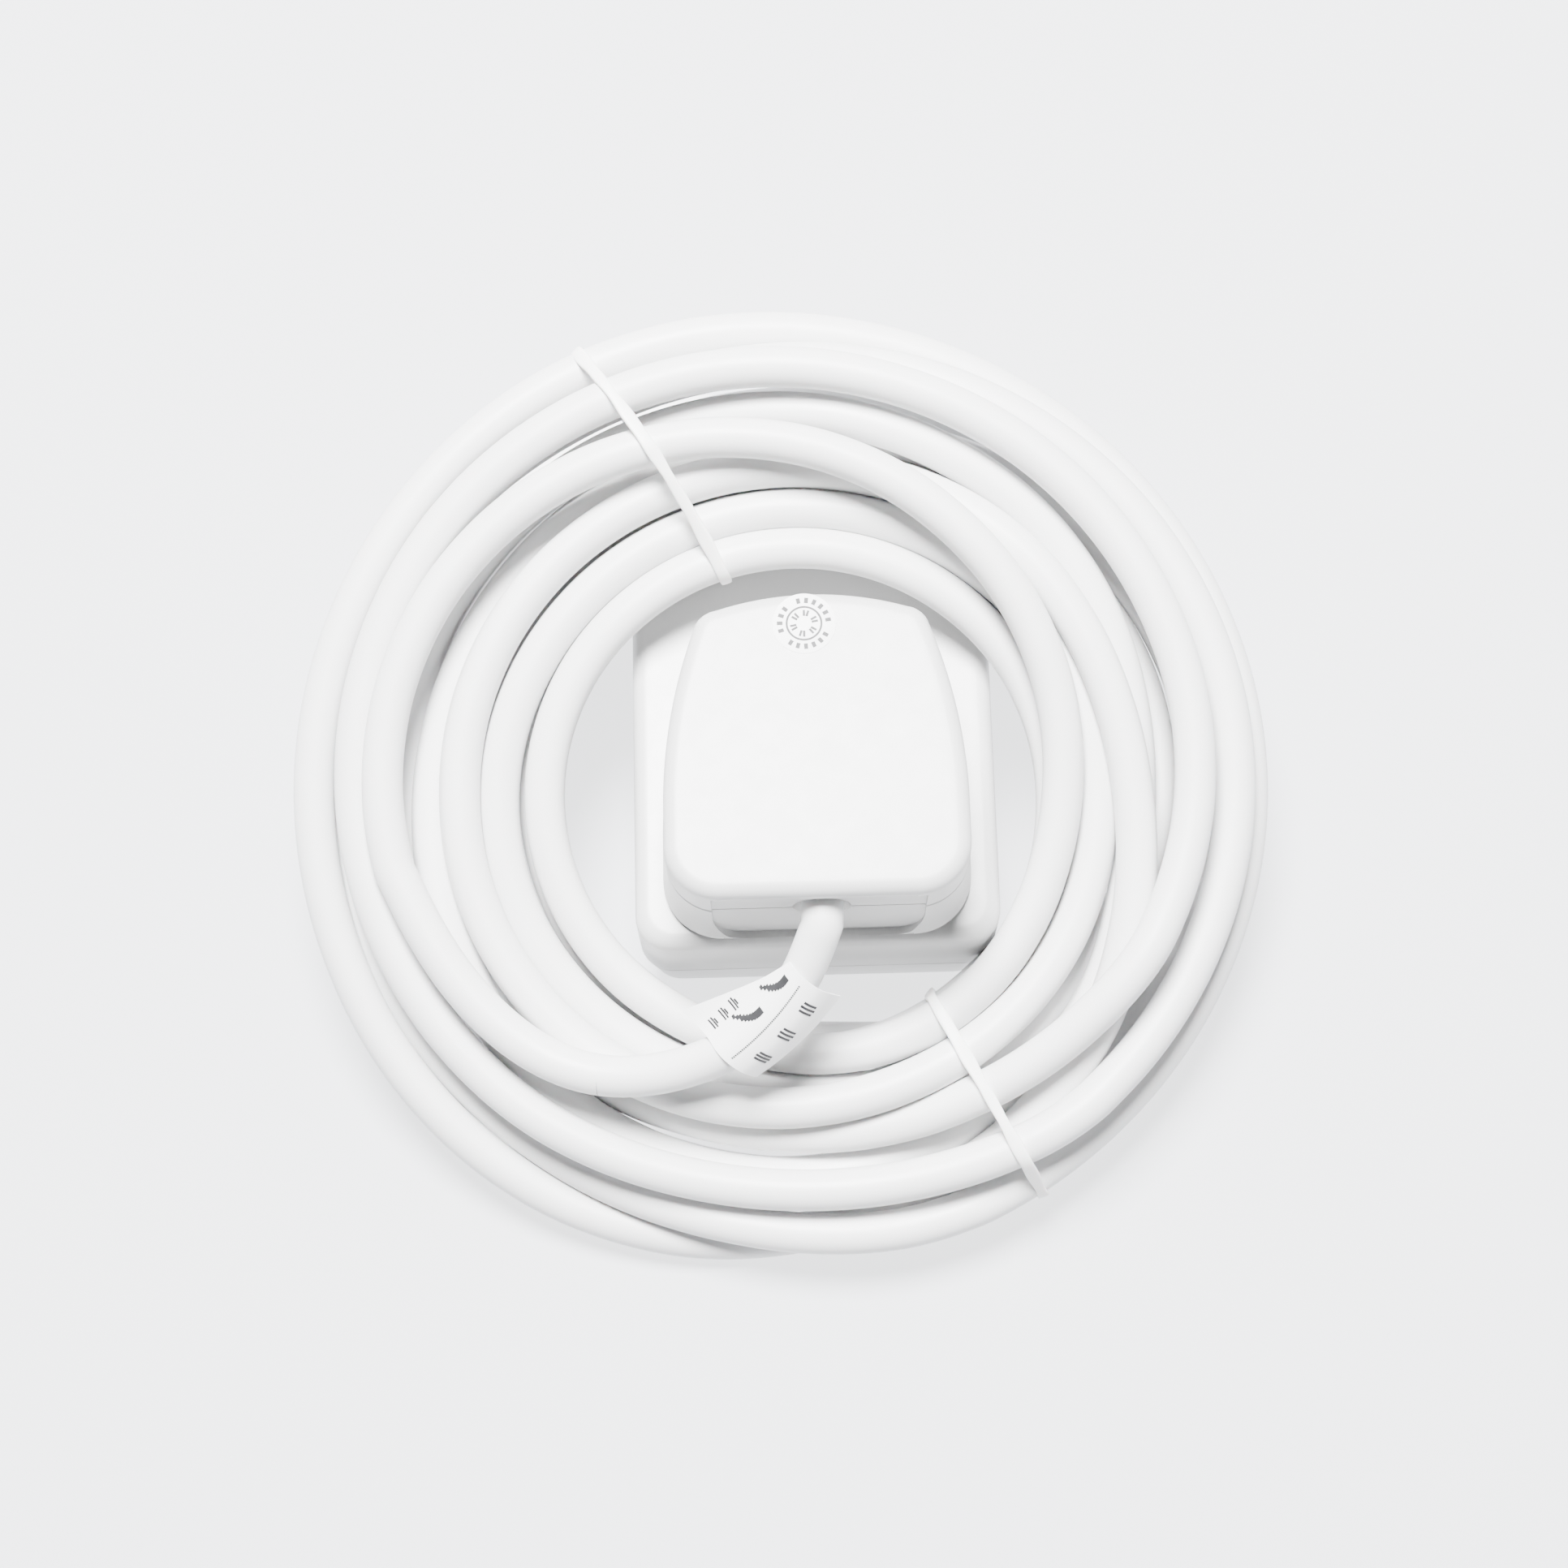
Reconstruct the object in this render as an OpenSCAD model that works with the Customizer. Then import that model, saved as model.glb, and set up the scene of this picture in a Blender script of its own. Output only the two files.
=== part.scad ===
// Extension lead: a one-gang 13 A trailing socket with its own plug pushed into its face
// and the white flexible cord wound round the plug.
// Origin: centre of the socket's back face. +Z out of the socket's front, +Y towards its cord entry.

/* [Trailing socket] */
// Width of the socket
socket_w = 62; // [58:1:66]
// Length of the socket
socket_l = 80; // [78:1:84]
// Height of the socket's front face above its back
socket_h = 33; // [32:1:34]
// Corner radius seen from the front
socket_corner = 6; // [4:1:8]
// Radius of the rounded front edge
socket_edge = 2.5; // [1.5:0.5:2.5]
// Wall thickness of both shells
socket_wall = 2.4; // [2:0.1:2.5]
// Height of the joint between the two shells
socket_split = 18; // [17:1:19]

/* [Plug] */
// Height of the plug's joint between base and cover above the socket's front
plug_split_h = 16; // [15:1:17]
// Height of the plug's cover top above the socket's front
plug_top_h = 25; // [24.5:0.5:26]
// Centre of the plug along Y
plug_y = -12; // [-12.5:0.5:-11.5]
// Wall thickness of the plug's shells
plug_wall = 2.2; // [2:0.1:2.4]
// How far the base flange stands out from the cover
plug_flange = 1; // [0.5:0.1:1.4]

/* [Pins] */
// Y of the line through the live and neutral pins
pin_line_y = -23.5; // [-24:0.25:-23]
// Distance between the centres of the live and neutral pins
pin_pitch = 22.23; // [22.2:0.01:22.26]
// Distance from the pin line to the centre of the earth pin
earth_offset = 22.23; // [22.2:0.01:22.26]
// How far the live and neutral pins stand out of the plug
pin_len = 17.7; // [17.4:0.1:18]
// How far the earth pin stands out of the plug
earth_len = 22.7; // [22.4:0.1:23]

/* [Cord] */
// Diameter of the round flexible cord
cord_d = 7; // [6.4:0.1:7.2]
// Outer radius of the coil
coil_r_out = 82; // [80:1:84]
// Inner radius of the coil
coil_r_in = 38.5; // [37.5:0.5:39]
// Thickness of the coil
coil_h = 16; // [14:1:17]
// Tilt of the coil's plane, which leans on the socket's side edges
coil_tilt = 18.5; // [18.5:0.1:19]

/* [Hidden] */
$fn = 48;

gap = 0.3;                       // running clearance between pieces that move apart
fit = 0.1;                       // clearance round a piece that is held still
cord_r = cord_d / 2;
groove_r = cord_r + fit;         // half bore of a clamp round the cord

pin_x = pin_pitch / 2;
earth_y = pin_line_y + earth_offset;
pin_size = [6.35, 3.97];         // section of a live or neutral pin
earth_size = [3.97, 7.92];       // section of the earth pin
pin_tip = 1.2;                   // height of the chamfered tip
sleeve_len = 9.5;                // insulated length of a live or neutral pin
sleeve_skin = 0.5;

plug_z = socket_h + gap;         // underside of the plug
plug_split = socket_h + plug_split_h;
plug_top = socket_h + plug_top_h;
plug_floor = plug_z + 3;         // inside of the plug's base
plug_ceiling = plug_top - 2.5;   // inside of the plug's cover
plug_cord_x = 0.5;
plug_grip_y = -31.5;             // middle of the plug's cord grip
plug_screw_y = -14;

socket_floor = 2.5;
socket_ceiling = socket_h - 3;
socket_cord_z = socket_split;    // the cord enters on the joint between the shells
socket_clamp_y = 31;
housing_screw_at = [24.5, 4];
terminal_w = 8;
terminal_l = 7;
contact_t = 0.8;                 // thickness of the brass strip
contact_z = 12;                  // underside of the live and neutral contacts
earth_contact_z = 7.2;
contact_top = 26;
live_terminal_y = 16;
earth_terminal_y = 13;
terminal_h = 8;

shutter_z = 27.3;
shutter_t = 2;
shutter_w = 35;
shutter_y = [-32, 6];
shutter_travel = 7.2;
shutter_pin_room = 2.5;          // room on the side that closes in on a live or neutral pin
shutter_earth_room = 3.4;
rail_w = 2;

clamp_w = 19;
clamp_l = 6;
clamp_screw_x = 7;
clamp_screw_r = 1.4;
band_w = 2.2;
band_t = 0.9;
label_l = 21;
label_r = cord_r + 0.5;

// The coil's own frame: centre of its rim, tilted about X.
coil_at = [-5.5, -12.6, 29.7];
coil_hole_at = [4.5, -2];         // the winding's hole is off centre
coil_hole_r = 40.5;
coil_r_mid = (coil_r_in + coil_r_out) / 2;
coil_half_w = (coil_r_out - coil_r_in) / 2;
band_upper_angle = 118;
band_lower_angle = 303;

// Route of the cord from the plug's grip down on to the coil.
lead_route = [[0.5, -28, 49], [0.5, -35, 49], [0.5, -40, 49], [0, -46, 46.5], [-2.5, -51, 42],
    [-7, -55.5, 37.5], [-13, -59, 34], [-20, -61.5, 31.5], [-27, -62.5, 30.5]];
// Route of the cord from the socket's clamp out through the bush and along the table to under the coil.
tail_route = [[0, 28, 18], [0, 35, 18], [0, 43, 18], [-0.8, 50, 17.5], [-4.5, 57, 17], [-11, 63, 16],
    [-20.5, 66, 15], [-32, 64.5, 14], [-45, 58, 12], [-57, 47.5, 10.5], [-66, 33, 8.5], [-71, 16, 6.5],
    [-71, -2, 5], [-65.5, -20, 4.5], [-55, -35, 4], [-43, -43.5, 4]];
neutral_core = [[-1, -27.6, 48.5], [-3.5, -26, 44.5], [-5.2, -25.3, 42], [-6.9, -25, 41]];
earth_core = [[-0.5, -27.6, 50.8], [-4.5, -21, 47.5], [-5.5, -13, 44.5], [-3, -7.5, 42], [-1.5, -5.8, 41]];
live_core = [[2.2, -27.6, 49], [5.2, -20, 47], [5.4, -10, 44.5], [5.4, 0, 42], [6.9, 4, 41]];
socket_neutral_core = [[-1.5, 27.6, 17.5], [-6, 25, 17], [-10, 22, 16.5], [-11.1, 19.4, 16]];
socket_earth_core = [[0, 27.6, 19.8], [0, 23, 17], [0, 19, 13.5], [0, 16.4, 11.5]];
socket_live_core = [[1.5, 27.6, 17.5], [6, 25, 17], [10, 22, 16.5], [11.1, 19.4, 16]];
core_r = 1.1;

// ---- shapes ----

function arc(c, r, a0, a1, n) =
    [for (i = [0:n]) c + r * [cos(a0 + (a1 - a0) * i / n), sin(a0 + (a1 - a0) * i / n)]];
function mirrored(p) = [for (i = [len(p) - 1:-1:0]) [-p[i][0], p[i][1]]];

// Right half of the plug's outline, moved inwards by g: bottom corner, bowed side, top corner, bowed top.
function plug_half(g) = concat([[0, -26 + g]], arc([16, -17], 9 - g, -90, 0, 8),
    arc([-65, -10.5], 90 - g, 0, 20.2, 6), arc([15.2, 19], 4.6 - g, 24, 70, 5),
    arc([0, -26.5], 52.5 - g, 72, 87, 4));
function plug_outline(g) = concat(plug_half(g), [[0, 26 - g]], mirrored([for (i = [1:len(plug_half(g)) - 1])
    plug_half(g)[i]]));

function unit(v) = v / norm(v);
function heading(p, i) = unit(p[min(i + 1, len(p) - 1)] - p[max(i - 1, 0)]);
function sideways(t) = unit(cross(t, [0, 0, 1]));
function ring(p, i, r, n) = [for (k = [0:n - 1]) p[i] + r * (cos(360 * k / n) * sideways(heading(p, i))
    + sin(360 * k / n) * cross(sideways(heading(p, i)), heading(p, i)))];

// Round tube swept through the points p, with flat ends.
module tube(p, r, n) {
    m = len(p);
    walls = [for (i = [0:m - 2]) for (k = [0:n - 1])
        [i * n + k, i * n + (k + 1) % n, (i + 1) * n + (k + 1) % n, (i + 1) * n + k]];
    triangles = [for (w = walls) for (t = [[w[0], w[1], w[2]], [w[0], w[2], w[3]]]) t];
    polyhedron([for (i = [0:m - 1]) for (q = ring(p, i, r, n)) q],
        concat(triangles, [[for (k = [n - 1:-1:0]) k]], [[for (k = [0:n - 1]) (m - 1) * n + k]]));
}

module block(size, at) {
    translate([at[0] - size[0] / 2, at[1] - size[1] / 2, at[2]]) cube(size);
}

module rounded_rect(w, l, r) {
    square([w - 2 * r, l], center = true);
    square([w, l - 2 * r], center = true);
    for (x = [-1, 1], y = [-1, 1]) translate([x * (w / 2 - r), y * (l / 2 - r)]) circle(r, $fn = 32);
}

module socket_prism(inset, z0, z1) {
    translate([0, 0, z0]) linear_extrude(z1 - z0)
        rounded_rect(socket_w - 2 * inset, socket_l - 2 * inset, socket_corner - inset);
}

module plug_prism(g, z0, z1) {
    translate([0, plug_y, z0]) linear_extrude(z1 - z0) polygon(plug_outline(g));
}

// Cheese-head screw with its head's underside at z, pointing down; its head has one slot.
module screw(x, y, z, r, head_r, head_h, length) {
    translate([x, y, z]) difference() {
        union() {
            translate([0, 0, -length]) cylinder(r = r, h = length);
            cylinder(r = head_r, h = head_h);
        }
        translate([-head_r, -0.3, head_h - 0.6]) cube([2 * head_r, 0.6, 1]);
    }
}

// Half of a cord clamp: a bar between z0 and z1 with a groove round the cord and two screw holes.
module clamp_half(x, y, cord_z, z0, z1, hole_r) {
    difference() {
        block([clamp_w, clamp_l, z1 - z0], [x, y, z0]);
        translate([x, y, cord_z]) rotate([90, 0, 0]) cylinder(r = groove_r, h = clamp_l + 2, center = true);
        for (s = [-1, 1]) translate([x + s * clamp_screw_x, y, z0 - 1])
            cylinder(r = hole_r, h = z1 - z0 + 2, $fn = 24);
    }
}

// The two screws of a clamp whose top face is at z.
module clamp_screws(x, y, z, length) {
    for (s = [-1, 1]) screw(x + s * clamp_screw_x, y, z, clamp_screw_r, 1.9, 1, length);
}

// Brass block with a vertical hole for its terminal screw.
module terminal(x, y, z) {
    difference() {
        block([terminal_w, terminal_l, terminal_h], [x, y, z]);
        translate([x, y, z + 2]) cylinder(r = 1.6, h = terminal_h, $fn = 24);
    }
}

module terminal_screw(x, y, z) {
    screw(x, y, z + terminal_h, 1.5, 2.4, 1.6, terminal_h - 2.4);
}

// Two brass leaves either side of a pin, joined under its tip, with a strip to the terminal.
module contact(x, y, size, leaf_w, z, along_x, terminal_y) {
    half = (along_x ? size[0] : size[1]) / 2 + gap + contact_t / 2;
    span = 2 * half + contact_t;
    for (s = [-1, 1]) block(along_x ? [contact_t, leaf_w, contact_top - z] : [leaf_w, contact_t, contact_top - z],
        [x + (along_x ? s * half : 0), y + (along_x ? 0 : s * half), z]);
    block(along_x ? [span, leaf_w, contact_t] : [leaf_w, span, contact_t], [x, y, z]);
    block([4, terminal_y - y, contact_t], [x, (y + terminal_y) / 2, z]);
    terminal(x, terminal_y, z);
}

// Pin of the plug: a chamfered blade below the plug and a shank through its floor.
module pin(x, y, size, length) {
    small = size - [1.6, 1.6];
    block([size[0], size[1], length - pin_tip + plug_floor - plug_z], [x, y, plug_z - length + pin_tip]);
    hull() {
        block([size[0], size[1], 0.01], [x, y, plug_z - length + pin_tip]);
        block([small[0], small[1], 0.01], [x, y, plug_z - length]);
    }
}

// Square hole for a pin, with room r all round it.
module pin_hole(x, y, size, r, z0, z1) {
    block([size[0] + 2 * r, size[1] + 2 * r, z1 - z0], [x, y, z0]);
}

module all_pin_holes(r, z0, z1) {
    for (s = [-1, 1]) pin_hole(s * pin_x, pin_line_y, pin_size, r, z0, z1);
    pin_hole(0, earth_y, earth_size, r, z0, z1);
}

module coil_frame() {
    translate(coil_at) rotate([coil_tilt, 0, 0]) children();
}

// Section of the winding, grown by g.
function coil_section(g) = [for (a = [0:15:345])
    [coil_r_mid + (coil_half_w + g) * cos(a), (coil_h / 2 + g) * sin(a)]];

// Elastic band round the winding at one angle of the coil.
module band(angle) {
    coil_frame() rotate([0, 0, angle]) rotate([90, 0, 0]) linear_extrude(band_w, center = true) difference() {
        polygon(coil_section(0.2 + band_t));
        polygon(coil_section(0.2));
    }
}

// ---- trailing socket ----

module socket_back_shell() {
    color("white") difference() {
        union() {
            difference() {
                socket_prism(0, 0, socket_split);
                socket_prism(socket_wall, socket_floor, socket_split + 1);
            }
            for (s = [-1, 1]) {
                translate([s * housing_screw_at[0], housing_screw_at[1], 1]) cylinder(r = 3.6, h = socket_split - 1);
                block([6, 6, contact_z - 1], [s * pin_x, pin_line_y, 1]);
                block([terminal_w, terminal_l, contact_z - 1], [s * pin_x, live_terminal_y, 1]);
            }
            block([5, 6, earth_contact_z - 1], [0, earth_y, 1]);
            block([terminal_w, terminal_l, earth_contact_z - 1], [0, earth_terminal_y, 1]);
            clamp_half(0, socket_clamp_y, socket_cord_z, 1, socket_cord_z - fit, clamp_screw_r + fit);
        }
        for (s = [-1, 1]) translate([s * housing_screw_at[0], housing_screw_at[1], -1]) {
            cylinder(r = 1.9, h = socket_split + 2, $fn = 24);
            cylinder(r = 3.2, h = 3.5, $fn = 32);
        }
        bush_hole();
    }
}

module bush_hole() {
    translate([0, socket_l / 2 - socket_wall - 1, socket_cord_z]) rotate([-90, 0, 0])
        cylinder(r = 5.3, h = socket_wall + 2);
}

module socket_face_shell() {
    color("white") difference() {
        union() {
            difference() {
                hull() for (a = [0:22.5:90]) {
                    inset = socket_edge * (1 - cos(a));
                    socket_prism(inset, socket_split + (a > 0 ? 5 : 0), socket_h - socket_edge * (1 - sin(a)));
                }
                socket_prism(socket_wall, socket_split - 1, socket_ceiling);
            }
            for (s = [-1, 1]) {
                translate([s * housing_screw_at[0], housing_screw_at[1], socket_split])
                    cylinder(r = 3.6, h = socket_ceiling + 1 - socket_split);
                shutter_rail(s);
            }
        }
        for (s = [-1, 1]) translate([s * housing_screw_at[0], housing_screw_at[1], socket_split - 1])
            cylinder(r = 1.85, h = 13, $fn = 24);
        all_pin_holes(0.35, socket_ceiling - 1, socket_h + 1);
        bush_hole();
    }
}

// Rail beside the shutter with a lip under its edge.
module shutter_rail(s) {
    rail_l = shutter_y[1] + shutter_travel - shutter_y[0] + 2;
    mid = (shutter_y[0] + shutter_y[1] + shutter_travel) / 2;
    top = socket_ceiling + 1;
    block([rail_w, rail_l, top - 25], [s * (shutter_w / 2 + gap + rail_w / 2), mid, 25]);
    block([rail_w + 2, rail_l, 2], [s * (shutter_w / 2 + gap + rail_w / 2 - 1), mid, 25]);
}

module socket_housing_screws() {
    color("silver") for (s = [-1, 1]) translate([s * housing_screw_at[0], housing_screw_at[1], 0])
        mirror([0, 0, 1]) screw(0, 0, -2.3, 1.75, 3, 1.8, 24);
}

module contact_live() {
    color("gold") contact(pin_x, pin_line_y, pin_size, 6, contact_z, false, live_terminal_y);
}

module contact_neutral() {
    color("gold") contact(-pin_x, pin_line_y, pin_size, 6, contact_z, false, live_terminal_y);
}

module contact_earth() {
    color("gold") contact(0, earth_y, earth_size, 7, earth_contact_z, true, earth_terminal_y);
}

module socket_terminal_screws() {
    color("silver") {
        for (s = [-1, 1]) terminal_screw(s * pin_x, live_terminal_y, contact_z);
        terminal_screw(0, earth_terminal_y, earth_contact_z);
    }
}

module socket_cord_clamp() {
    color("whitesmoke") clamp_half(0, socket_clamp_y, socket_cord_z, socket_cord_z + fit, socket_cord_z + 5,
        clamp_screw_r + fit);
}

module socket_clamp_screws() {
    color("silver") clamp_screws(0, socket_clamp_y, socket_cord_z + 5, 14);
}

module cord_bush() {
    wall_in = socket_l / 2 - socket_wall;
    color("whitesmoke") translate([0, 0, socket_cord_z]) rotate([-90, 0, 0]) difference() {
        union() {
            translate([0, 0, wall_in - 1.3]) cylinder(r = 6.4, h = 1.2);
            translate([0, 0, wall_in - 0.2]) cylinder(r = 5.2, h = socket_wall + 0.4);
            translate([0, 0, socket_l / 2 + fit]) cylinder(r = 6.2, h = 1.4);
        }
        cylinder(r = groove_r, h = socket_l);
    }
}

module socket_wires() {
    color("saddlebrown") tube(socket_live_core, core_r, 8);
    color("royalblue") tube(socket_neutral_core, core_r, 8);
    color("yellowgreen") tube(socket_earth_core, core_r, 8);
}

module shutter() {
    plate_l = shutter_y[1] - shutter_y[0];
    color("ivory") difference() {
        block([shutter_w, plate_l, shutter_t], [0, (shutter_y[0] + shutter_y[1]) / 2, shutter_z]);
        for (s = [-1, 1]) shutter_window(s * pin_x, pin_line_y, pin_size, shutter_pin_room);
        shutter_window(0, earth_y, earth_size, shutter_earth_room);
    }
}

// Window round a pin, longer by room on the -Y side, from which the shutter closes.
module shutter_window(x, y, size, room) {
    block([size[0] + 0.7, size[1] + room + 0.35, shutter_t + 2], [x, y + (0.35 - room) / 2, shutter_z - 1]);
}

module shutter_spring() {
    wall_in = -socket_l / 2 + socket_wall;
    turns = 3;
    length = shutter_y[0] - wall_in - 0.9;
    helix = [for (a = [0:30:360 * turns])
        [1.4 * cos(a), wall_in + 0.45 + length * a / (360 * turns), 28.2 + 1.4 * sin(a)]];
    color("silver") tube(helix, 0.25, 6);
}

// ---- plug ----

module plug_base() {
    color("white") difference() {
        union() {
            difference() {
                union() {
                    plug_prism(-plug_flange, plug_z, plug_z + 3);
                    plug_prism(0, plug_z, plug_split - fit);
                }
                plug_prism(plug_wall, plug_floor, plug_split + 1);
            }
            translate([0, plug_screw_y, plug_floor - 1]) cylinder(r = 3.8, h = plug_split - fit - plug_floor + 1);
            clamp_half(plug_cord_x, plug_grip_y, plug_split, plug_floor - 1, plug_split - fit, clamp_screw_r + fit);
        }
        all_pin_holes(fit, plug_z - 1, plug_floor + 1);
        translate([0, plug_screw_y, plug_z - 1]) {
            cylinder(r = 1.9, h = 20, $fn = 24);
            cylinder(r = 3, h = 3.2, $fn = 32);
        }
        plug_cord_hole();
    }
}

module plug_cord_hole() {
    translate([plug_cord_x, plug_y - 26 - 2, plug_split]) rotate([-90, 0, 0]) cylinder(r = 4.2, h = 5.4);
}

module plug_cover() {
    color("white") difference() {
        union() {
            difference() {
                hull() {
                    plug_prism(0, plug_split, plug_top - 2.4);
                    plug_prism(0.7, plug_split + 1, plug_top - 0.7);
                    plug_prism(2.4, plug_split + 1, plug_top);
                }
                plug_prism(plug_wall, plug_split - 1, plug_ceiling);
            }
            translate([0, plug_screw_y, plug_split]) cylinder(r = 3.8, h = plug_ceiling + 1 - plug_split);
        }
        translate([0, plug_screw_y, plug_split - 1]) cylinder(r = 1.6, h = 6, $fn = 24);
        plug_cord_hole();
    }
}

module pin_live() {
    color("gold") {
        pin(pin_x, pin_line_y, pin_size, pin_len);
        block([terminal_w, terminal_l, 3], [pin_x, pin_line_y, plug_floor]);
    }
}

module pin_neutral() {
    color("gold") {
        pin(-pin_x, pin_line_y, pin_size, pin_len);
        terminal(-pin_x, pin_line_y, plug_floor);
    }
}

module pin_earth() {
    color("gold") {
        pin(0, earth_y, earth_size, earth_len);
        terminal_narrow(earth_y);
    }
}

// Terminal block of the earth pin, narrower than the others to leave room for the live core.
module terminal_narrow(y) {
    difference() {
        block([7, 8.5, terminal_h], [0, y, plug_floor]);
        translate([0, y, plug_floor + 2]) cylinder(r = 1.6, h = terminal_h, $fn = 24);
    }
}

// The sleeves lie flush in the blades, as a thin skin let into them would.
module pin_sleeves() {
    z0 = plug_z - sleeve_len;
    color("whitesmoke") for (s = [-1, 1]) difference() {
        block([pin_size[0] + 0.04, pin_size[1] + 0.04, sleeve_len - 0.05], [s * pin_x, pin_line_y, z0]);
        block([pin_size[0] - 2 * sleeve_skin, pin_size[1] - 2 * sleeve_skin, sleeve_len + 2],
            [s * pin_x, pin_line_y, z0 - 1]);
    }
}

fuse_r = 3.175;
fuse_l = 25.4;
fuse_y = -25.5;                  // lower end of the fuse
fuse_z = plug_floor + 3 + 0.6 + 0.2 + fuse_r;
cap_l = 5.5;

module fuse() {
    color("gainsboro") translate([pin_x, fuse_y, fuse_z]) rotate([-90, 0, 0]) {
        translate([0, 0, cap_l]) cylinder(r = fuse_r - 0.35, h = fuse_l - 2 * cap_l);
        for (z = [0, fuse_l - cap_l]) translate([0, 0, z]) cylinder(r = fuse_r, h = cap_l);
    }
}

// Spring clip round one end of the fuse.
module fuse_clip(y) {
    z = plug_floor + 3;
    block([7.8, 5, 0.6], [pin_x, y, z]);
    for (s = [-1, 1]) block([0.6, 5, 7], [pin_x + s * 3.6, y, z]);
}

module fuse_clips() {
    outer_y = fuse_y + fuse_l - 2.5;
    color("gold") {
        fuse_clip(fuse_y + 2.5);
        fuse_clip(outer_y);
        block([5, 6, 0.6], [pin_x, outer_y + 3, plug_floor + 3]);
        terminal(pin_x, 5, plug_floor);
    }
}

module plug_terminal_screws() {
    color("silver") {
        terminal_screw(-pin_x, pin_line_y, plug_floor);
        terminal_screw(0, earth_y, plug_floor);
        terminal_screw(pin_x, 5, plug_floor);
    }
}

module plug_cord_grip() {
    color("whitesmoke") clamp_half(plug_cord_x, plug_grip_y, plug_split, plug_split + fit, plug_split + 4.6,
        clamp_screw_r + fit);
}

module plug_grip_screws() {
    color("silver") clamp_screws(plug_cord_x, plug_grip_y, plug_split + 4.6, 12);
}

module plug_cover_screw() {
    color("silver") translate([0, plug_screw_y, 0]) mirror([0, 0, 1])
        screw(0, 0, -plug_z - 2, 1.5, 2.8, 1.7, 17);
}

module plug_wires() {
    color("saddlebrown") tube(live_core, core_r, 8);
    color("royalblue") tube(neutral_core, core_r, 8);
    color("yellowgreen") tube(earth_core, core_r, 8);
}

module fuse_sticker() {
    color("snow") translate([-1.2, plug_y + 20.2, plug_top]) cylinder(r = 5.2, h = 0.12);
}

// ---- cord and what is on it ----

module cord_coil() {
    color("whitesmoke") coil_frame() difference() {
        rotate_extrude($fn = 96) polygon(coil_section(0));
        translate([coil_hole_at[0], coil_hole_at[1], -coil_h]) cylinder(r = coil_hole_r, h = 2 * coil_h, $fn = 96);
    }
}

module cord_lead() {
    color("whitesmoke") tube(lead_route, cord_r, 12);
}

module cord_tail() {
    color("whitesmoke") tube(tail_route, cord_r, 12);
}

module band_upper() {
    color("snow") band(band_upper_angle);
}

module band_lower() {
    color("snow") band(band_lower_angle);
}

// Label folded round the lead: a sleeve round the cord and the flag that its two ends make.
module flag_label() {
    color("snow") translate([-6.5, -54.5, 38.5]) rotate([0, 0, 217]) rotate([0, 28, 0]) {
        rotate([0, 90, 0]) difference() {
            cylinder(r = label_r, h = label_l, center = true);
            cylinder(r = label_r - 0.3, h = label_l + 2, center = true);
        }
        translate([-label_l / 2, -label_r - 8, 1]) cube([label_l, 8.5, 0.35]);
    }
}

socket_back_shell();
socket_face_shell();
socket_housing_screws();
contact_live();
contact_neutral();
contact_earth();
socket_terminal_screws();
socket_cord_clamp();
socket_clamp_screws();
cord_bush();
socket_wires();
shutter();
shutter_spring();
plug_base();
plug_cover();
pin_live();
pin_neutral();
pin_earth();
pin_sleeves();
fuse();
fuse_clips();
plug_terminal_screws();
plug_cord_grip();
plug_grip_screws();
plug_cover_screw();
plug_wires();
fuse_sticker();
cord_coil();
cord_lead();
cord_tail();
band_upper();
band_lower();
flag_label();
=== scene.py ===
"""Looks of the extension lead: a trailing socket with its own plug in its face and the cord wound round it.

Built in metres in the CAD model's frame: origin at the centre of the socket's back, +Z out of its face,
+Y towards its cord entry. Lengths below are in millimetres until to_m() turns them into metres.
"""

import math

import bmesh
import bpy
import numpy as np
from mathutils import Euler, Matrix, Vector, geometry


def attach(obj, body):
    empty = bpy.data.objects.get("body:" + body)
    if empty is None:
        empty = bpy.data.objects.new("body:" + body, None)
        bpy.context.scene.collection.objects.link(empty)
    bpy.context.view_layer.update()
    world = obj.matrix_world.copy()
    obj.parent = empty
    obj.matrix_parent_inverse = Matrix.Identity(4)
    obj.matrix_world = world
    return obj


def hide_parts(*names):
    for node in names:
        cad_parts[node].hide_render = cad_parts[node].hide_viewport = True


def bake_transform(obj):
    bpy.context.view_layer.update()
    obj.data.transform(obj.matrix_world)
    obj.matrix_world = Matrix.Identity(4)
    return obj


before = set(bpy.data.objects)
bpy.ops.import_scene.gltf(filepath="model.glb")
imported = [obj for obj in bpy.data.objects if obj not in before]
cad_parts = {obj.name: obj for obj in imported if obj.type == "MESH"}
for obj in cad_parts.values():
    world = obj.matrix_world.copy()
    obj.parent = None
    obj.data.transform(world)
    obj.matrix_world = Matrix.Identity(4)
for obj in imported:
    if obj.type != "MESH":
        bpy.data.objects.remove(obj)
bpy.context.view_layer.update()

MM = 0.001

# Socket, plug and cord, as in the CAD model.
SOCKET_SIZE = (62.0, 80.0, 33.0)
SOCKET_CORNER = 6.0
SOCKET_SPLIT = 18.0
PLUG_Y = -12.0
PLUG_BASE_Z = 33.3
PLUG_TOP = 58.0
PIN_LINE_Y = -23.5
PIN_X = 11.115
EARTH_Y = PIN_LINE_Y + 22.23
PIN_SIZE = (6.35, 3.97)
EARTH_SIZE = (3.97, 7.92)
CORD_D = 7.0
CORD_R = CORD_D / 2
CORD_X = 0.5

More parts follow.
